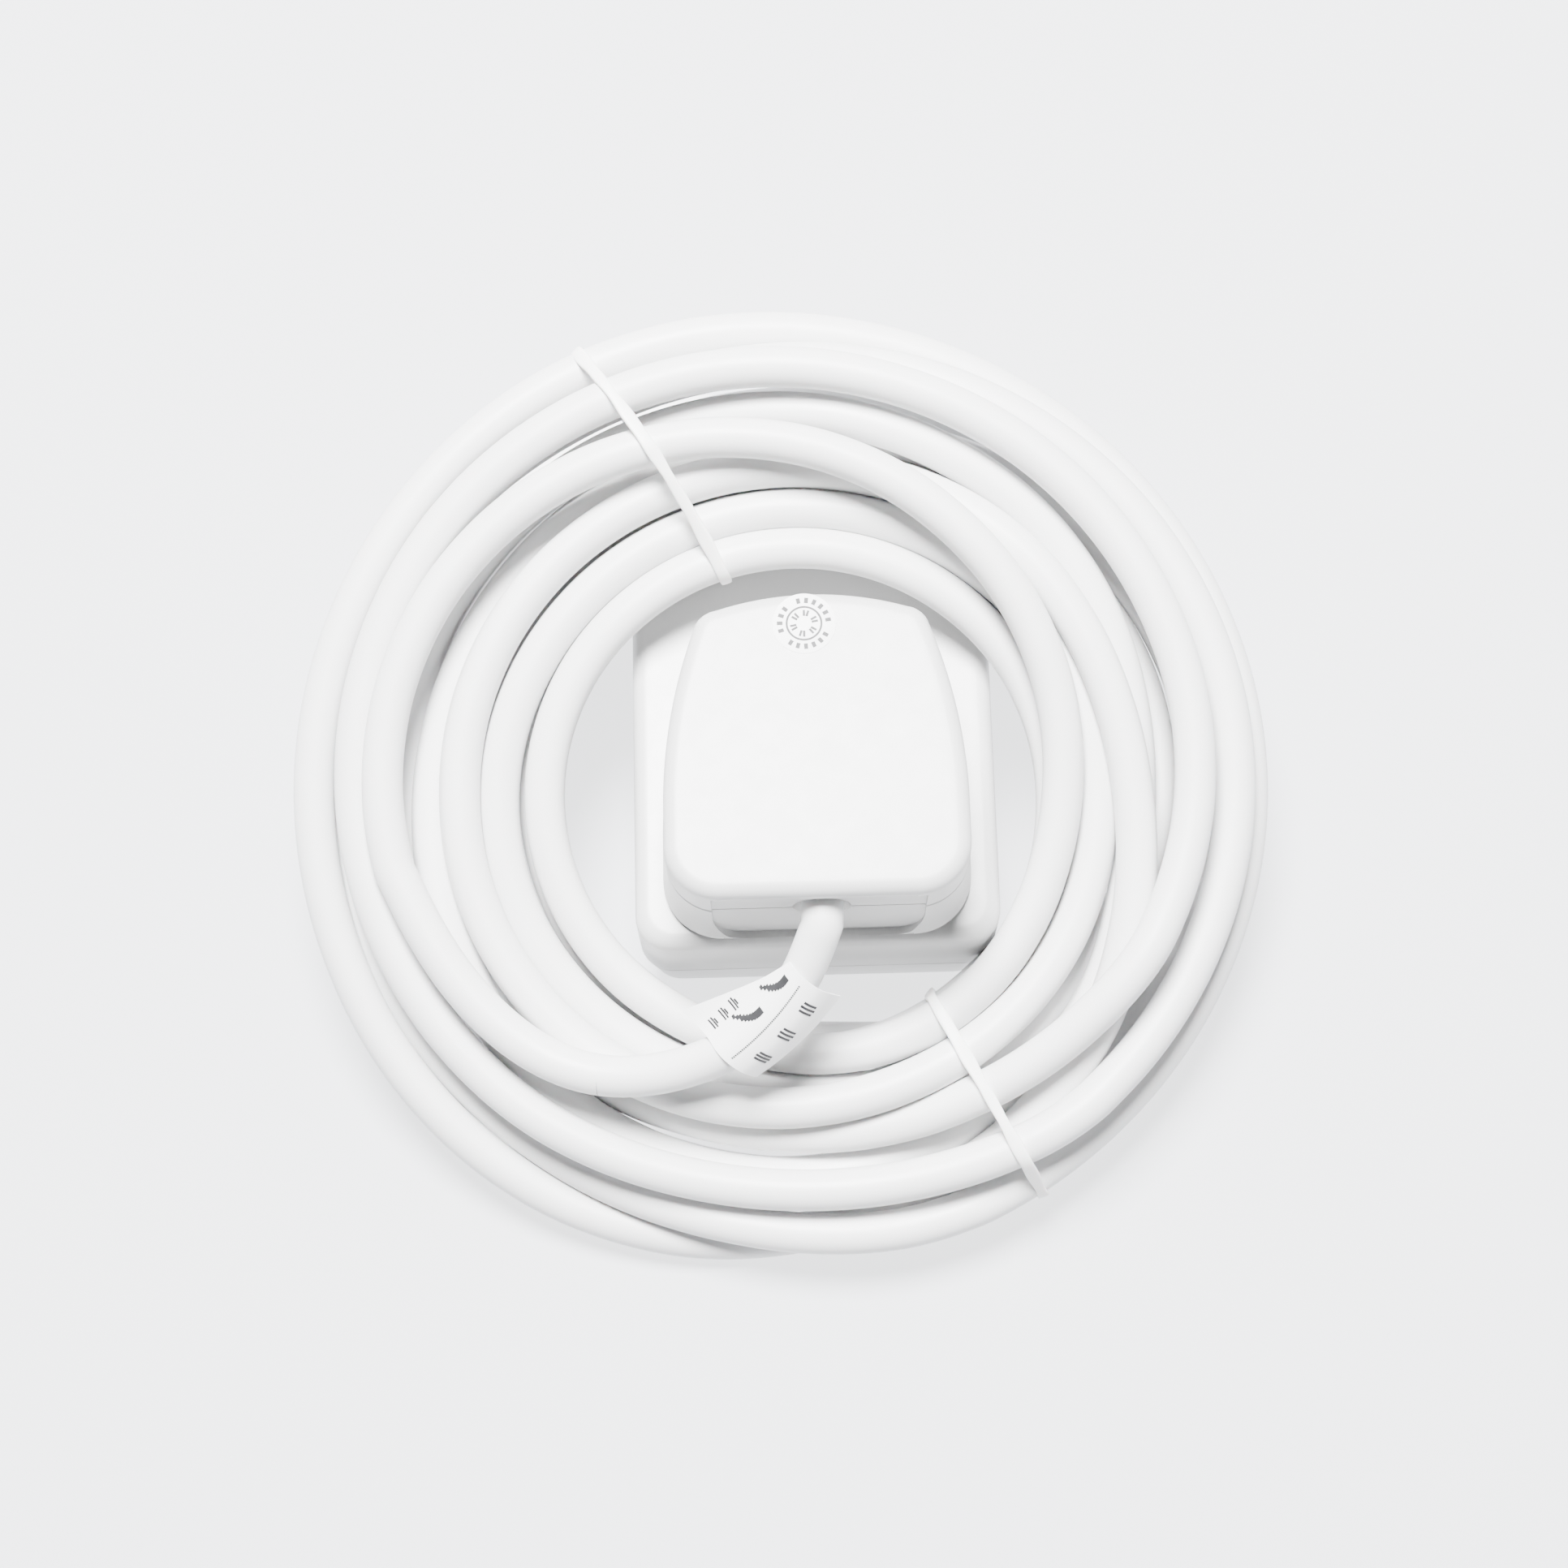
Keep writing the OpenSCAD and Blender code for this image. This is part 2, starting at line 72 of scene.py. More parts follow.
# Edges, seams and what is stuck on or wound round.
SOCKET_EDGE = 2.6
SOCKET_PARTING = 18.9
SOCKET_PARTING_DROP = 4.6
PLUG_EDGE = 2.4
PLUG_SEAM = 48.0
PANEL_Y = -37.35
PANEL_SLOPE = 0.02
STICKER_AT = (-1.2, 8.2)
LABEL_X = -8.0
LABEL_LENGTH = 21.5
LABEL_STIFF_FROM = 17.0
LABEL_FRONT_TRIM = 3.4
LABEL_FRONT_SKEW = 1.8
LABEL_BACK_SKEW = 9.0
BAND_TWIST = 0.35
FLOOR_SIZE = 12000.0

# Strength of the world, power of the two lamps in watts, and the two whites.
WORLD_STRENGTH = 0.15
KEY_POWER = 97
FILL_POWER = 2
FLOOR_GLOW = 2.45
SHEATH_COLOR = (0.72, 0.72, 0.72)
SHELL_COLOR = (0.56, 0.56, 0.56)

# The winding lies in a plane tilted about X, whose own axes are U, V and W.
COIL_TILT = math.radians(18.5)
COIL_AT = np.array([-2.1, -12.9, 29.7])
COIL_AXES = np.array([
    [1.0, 0.0, 0.0],
    [0.0, math.cos(COIL_TILT), math.sin(COIL_TILT)],
    [0.0, -math.sin(COIL_TILT), math.cos(COIL_TILT)],
])
COIL_UNDERSIDE = -8.3


def to_m(points):
    return [Vector((x * MM, y * MM, z * MM)) for x, y, z in points]


# ---------------------------------------------------------------- camera and light


def make_camera():
    """Looks down at 73 degrees from the -Y side, a little turned about its own axis."""
    elevation = math.radians(73)
    distance = 542 * MM
    aim_x = -5.2 * MM
    aim_up = -1.6 * MM
    forward = Vector((0, math.cos(elevation), -math.sin(elevation)))
    up = Vector((0, math.sin(elevation), math.cos(elevation)))
    data = bpy.data.cameras.new("camera")
    data.lens = 68
    data.sensor_width = 36
    camera = bpy.data.objects.new("camera", data)
    bpy.context.scene.collection.objects.link(camera)
    camera.location = Vector((aim_x, 0, 0)) + up * aim_up - forward * distance
    turn = Euler((0, 0, math.radians(-1.5))).to_matrix()
    tilt = Euler((math.radians(90) - elevation, 0, 0)).to_matrix()
    camera.rotation_euler = (tilt @ turn).to_euler()
    bpy.context.scene.camera = camera


def area_light(name, place, size, power, aim=(0, 0, 0.02)):
    data = bpy.data.lights.new(name, "AREA")
    data.shape = "DISK"
    data.size = size
    data.energy = power
    light = bpy.data.objects.new(name, data)
    bpy.context.scene.collection.objects.link(light)
    light.location = place
    light.rotation_euler = (Vector(aim) - Vector(place)).to_track_quat("-Z", "Y").to_euler()


def make_light():
    world = bpy.data.worlds.new("studio")
    bpy.context.scene.world = world
    world.use_nodes = True
    background = world.node_tree.nodes["Background"]
    background.inputs["Color"].default_value = (0.93, 0.94, 0.96, 1)
    background.inputs["Strength"].default_value = WORLD_STRENGTH
    area_light("key", (-0.08, 0.28, 1.0), 0.42, KEY_POWER)
    area_light("fill", (0.75, 0.1, 0.7), 0.5, FILL_POWER)


# ---------------------------------------------------------------- materials


def new_material(name, color, roughness, **sockets):
    material = bpy.data.materials.new(name)
    material.use_nodes = True
    shader = material.node_tree.nodes["Principled BSDF"]
    shader.inputs["Base Color"].default_value = (*color, 1)
    shader.inputs["Roughness"].default_value = roughness
    for socket, value in sockets.items():
        shader.inputs[socket.replace("_", " ")].default_value = value
    return material, material.node_tree, shader


def noise(tree, scale, detail=3.0, coordinates=None):
    node = tree.nodes.new("ShaderNodeTexNoise")
    node.inputs["Scale"].default_value = scale
    node.inputs["Detail"].default_value = detail
    if coordinates is None:
        coordinates = tree.nodes.new("ShaderNodeTexCoord").outputs["Object"]
    tree.links.new(coordinates, node.inputs["Vector"])
    return node


def ramp(tree, source, stops):
    node = tree.nodes.new("ShaderNodeValToRGB")
    elements = node.color_ramp.elements
    while len(elements) < len(stops):
        elements.new(0.5)
    for element, (place, color) in zip(elements, stops):
        element.position = place
        element.color = (*color, 1) if len(color) == 3 else color
    tree.links.new(source, node.inputs["Fac"])
    return node


def varied(tree, shader, color, scale, spread):
    """Base colour that drifts a little either side of color."""
    low = tuple(max(0.0, c * (1 - spread)) for c in color)
    high = tuple(min(1.0, c * (1 + spread)) for c in color)
    shades = ramp(tree, noise(tree, scale).outputs["Fac"], [(0.3, low), (0.7, high)])
    tree.links.new(shades.outputs["Color"], shader.inputs["Base Color"])


def varied_roughness(tree, shader, scale, low, high):
    span = tree.nodes.new("ShaderNodeMapRange")
    span.inputs["To Min"].default_value = low
    span.inputs["To Max"].default_value = high
    tree.links.new(noise(tree, scale, 4).outputs["Fac"], span.inputs["Value"])
    tree.links.new(span.outputs["Result"], shader.inputs["Roughness"])


def bumps(tree, shader, layers):
    """Chains bump layers: each is (noise scale, strength, distance in millimetres)."""
    previous = None
    for scale, strength, depth in layers:
        bump = tree.nodes.new("ShaderNodeBump")
        bump.inputs["Strength"].default_value = strength
        bump.inputs["Distance"].default_value = depth * MM
        tree.links.new(noise(tree, scale, 4).outputs["Fac"], bump.inputs["Height"])
        if previous:
            tree.links.new(previous.outputs["Normal"], bump.inputs["Normal"])
        previous = bump
    tree.links.new(previous.outputs["Normal"], shader.inputs["Normal"])


def moulded_plastic(name, color, roughness, grain, spread=0.012):
    """White moulded plastic: faint tone drift, a fine eroded grain and slow sink marks."""
    material, tree, shader = new_material(name, color, roughness, Specular_IOR_Level=0.5)
    varied(tree, shader, color, 60, spread)
    varied_roughness(tree, shader, 240, roughness - 0.05, roughness + 0.06)
    bumps(tree, shader, [(45, 0.25, 0.12), (2600, grain, 0.05)])
    return material


def metal(name, color, roughness, scratch):
    material, tree, shader = new_material(name, color, roughness, Metallic=1.0)
    varied(tree, shader, color, 300, 0.08)
    varied_roughness(tree, shader, 900, roughness - 0.08, roughness + 0.12)
    bumps(tree, shader, [(1500, scratch, 0.03)])
    return material


def sheath_plastic():
    """Flexible PVC sheath: matte, a touch of light through it, soft dents and a fine extrusion grain."""
    color = SHEATH_COLOR
    material, tree, shader = new_material(
        "sheath", color, 0.42, Subsurface_Weight=0.06, Subsurface_Scale=0.002, Specular_IOR_Level=0.42)
    varied(tree, shader, color, 35, 0.015)
    varied_roughness(tree, shader, 180, 0.36, 0.5)
    bumps(tree, shader, [(28, 0.3, 0.25), (160, 0.18, 0.06), (2200, 0.12, 0.03)])
    return material


def core_material():
    """Insulated cores told apart by side: neutral at -X, earth in the middle, live at +X."""
    material, tree, shader = new_material("cores", (0.36, 0.52, 0.06), 0.4)
    split = tree.nodes.new("ShaderNodeSeparateXYZ")
    tree.links.new(tree.nodes.new("ShaderNodeTexCoord").outputs["Object"], split.inputs["Vector"])
    span = tree.nodes.new("ShaderNodeMapRange")
    span.inputs["From Min"].default_value = -12 * MM
    span.inputs["From Max"].default_value = 12 * MM
    tree.links.new(split.outputs["X"], span.inputs["Value"])
    shades = ramp(tree, span.outputs["Result"],
                  [(0.0, (0.05, 0.16, 0.42)), (0.45, (0.36, 0.52, 0.06)), (0.56, (0.20, 0.09, 0.04))])
    shades.color_ramp.interpolation = "CONSTANT"
    tree.links.new(shades.outputs["Color"], shader.inputs["Base Color"])
    bumps(tree, shader, [(2200, 0.08, 0.05)])
    return material


def make_materials():
    band, tree, shader = new_material("elastic", (0.88, 0.88, 0.87), 0.45, Subsurface_Weight=0.15,
                                      Subsurface_Scale=0.001)
    varied(tree, shader, (0.88, 0.88, 0.87), 150, 0.03)
    bumps(tree, shader, [(500, 0.3, 0.08)])
    paper, tree, shader = new_material("paper", (0.9, 0.9, 0.9), 0.6)
    varied(tree, shader, (0.9, 0.9, 0.9), 120, 0.012)
    bumps(tree, shader, [(90, 0.2, 0.1), (1800, 0.2, 0.03)])
    ink, tree, shader = new_material("ink", (0.02, 0.02, 0.022), 0.55)
    varied(tree, shader, (0.02, 0.02, 0.022), 800, 0.25)
    bumps(tree, shader, [(1800, 0.2, 0.03)])
    return {
        "shell": moulded_plastic("shell", SHELL_COLOR, 0.36, 0.10),
        "cover": moulded_plastic("cover", SHELL_COLOR, 0.40, 0.14),
        "base": moulded_plastic("base", SHELL_COLOR, 0.22, 0.03),
        "inner": moulded_plastic("inner", (0.80, 0.79, 0.75), 0.5, 0.15),
        "sleeve": moulded_plastic("sleeve", (0.82, 0.82, 0.82), 0.45, 0.10),
        "rubber": moulded_plastic("rubber", (0.80, 0.80, 0.79), 0.6, 0.20),
        "brass": metal("brass", (0.75, 0.56, 0.26), 0.3, 0.15),
        "steel": metal("steel", (0.62, 0.63, 0.65), 0.32, 0.12),
        "ceramic": moulded_plastic("ceramic", (0.78, 0.76, 0.70), 0.3, 0.05),
        "sheath": sheath_plastic(),
        "cores": core_material(),
        "elastic": band,
        "paper": paper,
        "ink": ink,
    }


def floor_material():
    color = (0.28, 0.285, 0.3)
    material, tree, shader = new_material(
        "floor", color, 0.9, Emission_Color=(0.97, 0.98, 1, 1), Emission_Strength=FLOOR_GLOW)
    varied(tree, shader, color, 4, 0.004)
    return material


# ---------------------------------------------------------------- mesh helpers


def add_object(name, points, faces, material, smooth_deg=35):
    """Mesh object from points in millimetres, smooth except where faces meet at more than smooth_deg."""
    mesh = bpy.data.meshes.new(name)
    mesh.from_pydata(to_m(points), [], faces)
    mesh.update()
    bm = bmesh.new()
    bm.from_mesh(mesh)
    bmesh.ops.recalc_face_normals(bm, faces=bm.faces)
    bm.to_mesh(mesh)
    bm.free()
    piece = bpy.data.objects.new(name, mesh)
    bpy.context.scene.collection.objects.link(piece)
    mesh.materials.append(material)
    smooth(piece, smooth_deg)
    return piece


def smooth(piece, degrees):
    for polygon in piece.data.polygons:
        polygon.use_smooth = True
    piece.data.set_sharp_from_angle(angle=math.radians(degrees))


def loft(name, rings, material, smooth_deg=35, close_start=True, close_end=True):
    """Skin over rings of equally many points; each end is closed by one face."""
    n = len(rings[0])
    points = [p for ring in rings for p in ring]
    faces = [
        (i * n + k, i * n + (k + 1) % n, (i + 1) * n + (k + 1) % n, (i + 1) * n + k)
        for i in range(len(rings) - 1) for k in range(n)
    ]
    if close_start:
        faces.append(tuple(range(n - 1, -1, -1)))
    if close_end:
        faces.append(tuple((len(rings) - 1) * n + k for k in range(n)))
    return add_object(name, points, faces, material, smooth_deg)


def cut(piece, *tools):
    """Takes each tool out of the piece and deletes the tool."""
    for tool in tools:
        modifier = piece.modifiers.new("cut", "BOOLEAN")
        modifier.object = tool
        modifier.operation = "DIFFERENCE"
        modifier.solver = "EXACT"
        apply_modifiers(piece)
        bpy.data.objects.remove(tool)


def apply_modifiers(piece):
    graph = bpy.context.evaluated_depsgraph_get()
    mesh = bpy.data.meshes.new_from_object(piece.evaluated_get(graph))
    piece.modifiers.clear()
    piece.data = mesh


def arc(cx, cy, r, a0, a1, n):
    angles = np.radians(np.linspace(a0, a1, n + 1))
    return [(cx + r * math.cos(a), cy + r * math.sin(a)) for a in angles]


def rounded_rect(w, l, r, n=10):
    """Outline of a rounded rectangle, anticlockwise, with n steps round each corner."""
    x, y = w / 2 - r, l / 2 - r
    return (arc(x, -y, r, -90, 0, n) + arc(x, y, r, 0, 90, n)
            + arc(-x, y, r, 90, 180, n) + arc(-x, -y, r, 180, 270, n))


def edge_steps(radius, steps=8):
    """Insets and drops over a rounded edge, from the wall to the top."""
    angles = np.radians(np.linspace(0, 90, steps + 1))
    return [radius * (1 - math.cos(a)) for a in angles], [radius * (1 - math.sin(a)) for a in angles]


def plug_outline(g):
    """The plug's outline moved inwards by g: bottom corners, bowed sides, top corners, bowed top."""
    right = (arc(16, -17, 9 - g, -90, 0, 14) + arc(-65, -10.5, 90 - g, 0, 20.2, 14)[1:]
             + arc(15.2, 19, 4.6 - g, 26, 70, 8) + arc(0, -26.5, 52.5 - g, 72.5, 88, 8))
    left = [(-x, y) for x, y in reversed(right)]
    return [(x, y + PLUG_Y) for x, y in right + [(0, 26 - g)] + left]


def at_height(outline, z):
    return [(x, y, z) for x, y in outline]


# ---------------------------------------------------------------- cord: the winding

# Each turn is a circle about the winding's centre, moved sideways: its radius, its shift along U and V, and
# its level at the -U side and at the +U side in cord diameters. It keeps its lane until CROSSING_FROM of
# the way round and then crosses into the next one's; the last row is only crossed towards. settle() then
# lets the turns push each other apart and sink. The values are set in round numbers to resemble
# the winding measured in the photograph.
START_DEG = 238.5
STATIONS = 24
CROSSING_FROM = 0.62
LAST_TURN_PART = 0.8
WIDER_ALONG_U = 1.03
TURNS = [
    (56, -13, 4, 3.3, 2.5),
    (43, 0, 0, 2.0, 1.1),
    (45, 1, -1, 1.0, 0.2),
    (56, 4, 0, 0.2, 0.5),
    (50, -1, -1, 1.5, 0.9),
    (55, -2, 1, 2.0, 2.2),
    (78, -3, 0, 1.3, 0.5),
    (75, -3, 1, 0.8, 1.7),
    (69, -5, 4, 1.8, 2.0),
    (60, -6, 5, 1.3, 1.4),
    (65, 3, -3, 2.0, 0.3),
    (68, 0, 0, -1.0, -1.0),
    (50, 0, 0, -1.0, -1.0),
]

# From under the winding round the left side to the gland in the socket's +Y end.
TAIL = [
    (-28, -49, 4), (-43, -43.5, 4), (-55, -35, 4), (-65.5, -20, 4.5), (-71, -2, 5), (-71, 16, 6.5),
    (-66, 33, 8.5), (-57, 47.5, 10.5), (-45, 58, 12), (-32, 64.5, 14), (-20.5, 66, 15), (-11, 63, 16),
    (-4.5, 57, 17), (-0.8, 50, 17.5), (0, 43, 18), (0, 35, 18), (0, 28, 18),
]
TAIL_HELD_MM = 110.0

# Down out of the plug's end and onto the winding, as far as its first station.
LEAD = [
    (0.5, -28, 49), (0.5, -35, 49), (0.5, -40, 49), (0, -46, 46.5), (-2.5, -51, 42), (-7, -55.5, 37.5),
    (-13, -58.8, 33),
]

LEAD_GRIPPED_MM = 12.0
LEAD_EASED_MM = 125.0
SETTLE_STEPS = 400
SETTLE_SPACING = 4.0
SETTLE_SPRING = 0.25
SETTLE_GRAVITY = 0.03
PATH_SPACING = 1.8


def to_world(points):
    return COIL_AT + points @ COIL_AXES


def to_coil(points):
    return (points - COIL_AT) @ COIL_AXES.T


def spline(points, steps):
    """Catmull-Rom curve through the points, with this many steps between neighbours."""
    p = np.asarray(points, float)
    q = np.vstack([2 * p[0] - p[1], p, 2 * p[-1] - p[-2]])
    t = np.linspace(0, 1, steps, endpoint=False)[:, None]
    parts = []
    for i in range(len(p) - 1):
        a, b, c, d = q[i:i + 4]
        parts.append(b + 0.5 * ((c - a) * t + (2 * a - 5 * b + 4 * c - d) * t**2
                                + (3 * b - a - 3 * c + d) * t**3))
    return np.vstack(parts + [p[-1:]])


def lengths(points):
    """Distance along the points from the first to each."""
    return np.r_[0, np.cumsum(np.linalg.norm(np.diff(points, axis=0), axis=1))]


def evenly(points, spacing):
    along = lengths(points)
    places = np.linspace(0, along[-1], max(2, round(along[-1] / spacing) + 1))
    return np.stack([np.interp(places, along, points[:, k]) for k in range(3)], 1)


def smoothed(values, amount, times=1):
    for _ in range(times):
        moved = values.copy()
        moved[1:-1] += amount * (0.5 * (values[:-2] + values[2:]) - values[1:-1])
        values = moved
    return values


def laid_path():
    """The cord as it was laid, before it settles, in the winding's own axes."""
    wound = []
    for k in range(round((len(TURNS) - 2 + LAST_TURN_PART) * STATIONS) + 1):
        turn, part = divmod(k / STATIONS, 1)
        crossed = max(0.0, (part - CROSSING_FROM) / (1 - CROSSING_FROM))
        crossed = crossed * crossed * (3 - 2 * crossed)
        here = np.array(TURNS[int(turn)], float)
        there = np.array(TURNS[int(turn) + 1], float)
        radius, shift_u, shift_v, level_left, level_right = here + crossed * (there - here)
        angle = math.radians(START_DEG - 360 * k / STATIONS)
        r = radius + shift_u * math.cos(angle) + shift_v * math.sin(angle)
        level = level_left + (level_right - level_left) * (1 + math.cos(angle)) / 2
        wound.append((WIDER_ALONG_U * r * math.cos(angle), r * math.sin(angle),
                      level * CORD_D + COIL_UNDERSIDE + CORD_R))
    tail = to_coil(np.array(TAIL, float))
    return evenly(spline(np.vstack([wound, tail]), 8), SETTLE_SPACING)


def outside_socket(points, gap):
    """Moves points that are nearer than gap to the socket's body straight out of it."""
    half = np.array([SOCKET_SIZE[0] / 2, SOCKET_SIZE[1] / 2]) - SOCKET_CORNER
    mid = SOCKET_SIZE[2] / 2
    side = np.abs(points[:, :2]) - half
    beyond = np.maximum(side, 0)
    reach = np.linalg.norm(beyond, axis=1)
    around = reach + np.minimum(side.max(axis=1), 0) - SOCKET_CORNER
    above = np.abs(points[:, 2] - mid) - mid
    inside = np.minimum(np.maximum(around, above), 0)
    distance = np.hypot(np.maximum(around, 0), np.maximum(above, 0)) + inside
    nearest_wall = (side == side.max(axis=1, keepdims=True)).astype(float)
    flat = np.where(reach[:, None] > 0, beyond / np.maximum(reach, 1e-9)[:, None], nearest_wall)
    flat *= np.sign(points[:, :2])
    both = (around > 0) & (above > 0)
    weight_around = np.where(both, around, (around >= above).astype(float))
    weight_above = np.where(both, above, (above > around).astype(float))
    norm = np.maximum(np.hypot(weight_around, weight_above), 1e-9)
    away = np.column_stack([
        flat * (weight_around / norm)[:, None],
        weight_above / norm * np.sign(points[:, 2] - mid),
    ])
    return points + np.maximum(gap - distance, 0)[:, None] * away


def settle(laid):
    """Lets the laid cord push itself apart to one diameter and sink onto what lies under it."""
    count = len(laid)
    index = np.arange(count)
    spacing = np.linalg.norm(np.diff(laid, axis=0), axis=1).mean()
    neighbours = math.ceil(2.2 * CORD_D / spacing)
    held = index >= count - round(TAIL_HELD_MM / spacing)
    floor = np.minimum(laid[:, 2], COIL_UNDERSIDE + CORD_R)
    path = laid.copy()
    for step in range(SETTLE_STEPS):
        last = step > 0.8 * SETTLE_STEPS
        shift = smoothed((path - laid)[:, :2], 0.5, 3) * (1.0 if last else 1 - SETTLE_SPRING)
        height = smoothed(path[:, 2:], 0.5, 3) - SETTLE_GRAVITY * (0.3 if last else 1.0)
        moved = np.column_stack([laid[:, :2] + shift, height])
        moved[held] = path[held]
        path = moved
        if step % 8 == 0:
            gaps = np.linalg.norm(path[:, None] - path[None], axis=2)
            first, second = np.nonzero((gaps < CORD_D + 3) & (index[None] - index[:, None] > neighbours))
        for _ in range(3):
            apart = path[first] - path[second]
            gap = np.linalg.norm(apart, axis=1)
            touching = gap < CORD_D
            push = apart[touching] * (0.5 * (CORD_D - gap) / np.maximum(gap, 1e-6))[touching, None]
            total = np.zeros_like(path)
            contacts = np.zeros(count)
            for ends, sign in ((first[touching], 1), (second[touching], -1)):
                np.add.at(total, ends, sign * push)
                np.add.at(contacts, ends, 1)
            moved = path + 1.5 * total / np.maximum(contacts, 1)[:, None]
            moved[:, 2] = np.maximum(moved[:, 2], floor)
            world = to_world(moved)
            world[:, 2] = np.maximum(world[:, 2], CORD_R + 0.05)
            moved = to_coil(outside_socket(world, CORD_R + 0.05))
            moved[held] = path[held]
            path = moved
    return path


def cross_rings(path, radius, sides, wobble=0.0):
    """Circles of points square to the path; wobble is the part of the radius that drifts along it."""
    path = np.asarray(path, float)
    along = np.gradient(path, axis=0)
    along /= np.linalg.norm(along, axis=1, keepdims=True)
    normal = np.cross(along[0], (0.3, 0.2, 1.0))
    angles = np.linspace(0, 2 * math.pi, sides, endpoint=False)
    rings = []
    for i, (point, direction) in enumerate(zip(path, along)):
        normal = normal - direction * normal.dot(direction)
        normal /= np.linalg.norm(normal)
        other = np.cross(direction, normal)
        r = radius * (1 + wobble * (math.sin(i * 0.11) + math.sin(i * 0.043 + 1)) / 2)
        rings.append([tuple(point + r * (math.cos(a) * normal + math.sin(a) * other)) for a in angles])
    return rings


def make_cords(materials):
    wound = to_world(settle(laid_path()))
    whole = evenly(spline(np.vstack([np.array(LEAD, float), wound[1:]]), 5), PATH_SPACING)
    whole[:, 2] = np.maximum(whole[:, 2], CORD_R * 1.02)
    hanging = round(LEAD_EASED_MM / PATH_SPACING)
    gripped = round(LEAD_GRIPPED_MM / PATH_SPACING)
    whole[gripped:hanging] = smoothed(whole[gripped:hanging], 0.8, 60)
    junction = int(np.argmin(np.linalg.norm(whole - wound[1], axis=1)))
    lead_path = whole[:junction + 1]
    wound_path = whole[junction:]
    cord = loft("winding_cord", cross_rings(wound_path, CORD_R, 24, 0.012), materials["sheath"], 60)
    lead = loft("plug_lead", cross_rings(lead_path, CORD_R, 24), materials["sheath"], 60)
    return cord, wound_path, lead, lead_path


# ---------------------------------------------------------------- trailing socket


def socket_ring(inset, height):
    """Outline of the socket at this inset, at a height that may depend on X."""
    corner = max(SOCKET_CORNER - 0.6 * inset, 0.5)
    outline = rounded_rect(SOCKET_SIZE[0] - 2 * inset, SOCKET_SIZE[1] - 2 * inset, corner)
    return [(x, y, height(x) if callable(height) else height) for x, y in outline]


def parting(offset):
    """The line between the two shells: highest in the middle of the socket, falling towards its sides."""
    drop = SOCKET_PARTING_DROP / (SOCKET_SIZE[0] / 2) ** 2
    return lambda x: SOCKET_PARTING + offset - drop * x * x


def cylinder_tool(centre, axis, radius_start, radius_end, length, sides=48):
    """Round or tapered cutter from centre along axis, a unit vector."""
    axis = Vector(axis)
    across = axis.orthogonal().normalized()
    other = axis.cross(across)
    rings = []
    for radius, far in ((radius_start, 0), (radius_end, length)):
        middle = Vector(centre) + axis * far
        rings.append([
            tuple(middle + radius * (math.cos(a) * across + math.sin(a) * other))
            for a in np.linspace(0, 2 * math.pi, sides, endpoint=False)
        ])
    return loft("tool", rings, None)


def pin_hole_tool(x, y, size, lip):
    """Cutter for a pin's hole in the face, with a small lead-in at the top."""
    w, l = size[0] + 1.0, size[1] + 1.0
    top = SOCKET_SIZE[2]
    sections = [(0, top - 5), (0, top - lip), (lip, top + 0.05), (lip + 0.1, top + 1)]
    rings = [at_height(rounded_rect(w + 2 * g, l + 2 * g, 0.5 + g, 3), z) for g, z in sections]
    rings = [[(px + x, py + y, pz) for px, py, pz in ring] for ring in rings]
    return loft("tool", rings, None)


def make_socket(materials):
    """Hollow face and back shells; the face has the three pin holes, the back its two screw recesses."""
    top = SOCKET_SIZE[2]
    wall = 2.4
    rings = [socket_ring(0.35, parting(0.08)), socket_ring(0.1, parting(0.2)), socket_ring(0, parting(0.5))]
    rings += [socket_ring(0, z) for z in (21.5, 25, 28, top - SOCKET_EDGE - 0.8)]
    rings += [socket_ring(inset, top - drop) for inset, drop in zip(*edge_steps(SOCKET_EDGE))]
    rings += [socket_ring(inset, top) for inset in (SOCKET_EDGE + 1, 8, 14)]
    face = loft("face_shell", rings, materials["shell"], 40)
    hollow = [socket_ring(wall, z) for z in (8, 30)]
    holes = [pin_hole_tool(s * PIN_X, PIN_LINE_Y, PIN_SIZE, 0.4) for s in (-1, 1)]
    holes.append(pin_hole_tool(0, EARTH_Y, EARTH_SIZE, 0.4))
    entry = (0, SOCKET_SIZE[1] / 2 - 4, SOCKET_SPLIT)
    cut(face, loft("tool", hollow, None), *holes, cylinder_tool(entry, (0, 1, 0), 5.3, 5.3, 6))

    feet = [(3.2, 0), (2.5, 0.3), (2.1, 1.0)]
    rings = [socket_ring(12, 0)] + [socket_ring(inset, z) for inset, z in feet]
    rings += [socket_ring(1.9 * (1 - t) + 0.12, lambda x, t=t: t * parting(-0.3)(x))
              for t in (0.2, 0.4, 0.6, 0.8, 1)]
    rings += [socket_ring(0.25, parting(-0.15)), socket_ring(0.5, parting(-0.08))]
    back = loft("back_shell", rings, materials["shell"], 40)
    hollow = loft("tool", [socket_ring(wall + 1.9, 2.5), socket_ring(wall, 21)], None)
    recesses = [cylinder_tool((s * 24.5, 4, -1), (0, 0, 1), 3.2, 3.2, 4.5) for s in (-1, 1)]
    cut(back, hollow, *recesses, cylinder_tool(entry, (0, 1, 0), 5.3, 5.3, 6))
    for piece in (face, back):
        smooth(piece, 35)
        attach(piece, "socket")
    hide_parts("socket_face_shell")
    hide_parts("socket_back_shell")
    return face, back


